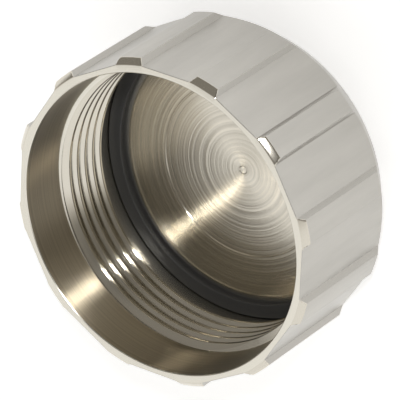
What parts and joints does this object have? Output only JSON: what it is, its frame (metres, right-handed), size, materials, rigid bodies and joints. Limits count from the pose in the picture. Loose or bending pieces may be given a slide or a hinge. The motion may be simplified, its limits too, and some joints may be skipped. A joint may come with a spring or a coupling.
{
  "type": "threaded protection cap",
  "caption": "Round metal protection cap with an internal thread, a counterbored mouth, outer grip ribs and a flat rubber sealing ring at the bottom.",
  "frame": {"origin": "centre of the closed end's flat outer face", "axes": "+Z along the thread axis, out of the mouth; +X through the middle of one grip rib"},
  "size_m": [0.026, 0.026, 0.0128],
  "materials": {
    "plated_metal": "nickel-plated, turned and milled, satin",
    "black_rubber": "moulded, slightly glossy"
  },
  "bodies": {
    "root": {"cap_body": "plated_metal", "sealing_ring": "black_rubber"}
  },
  "joints": []
}
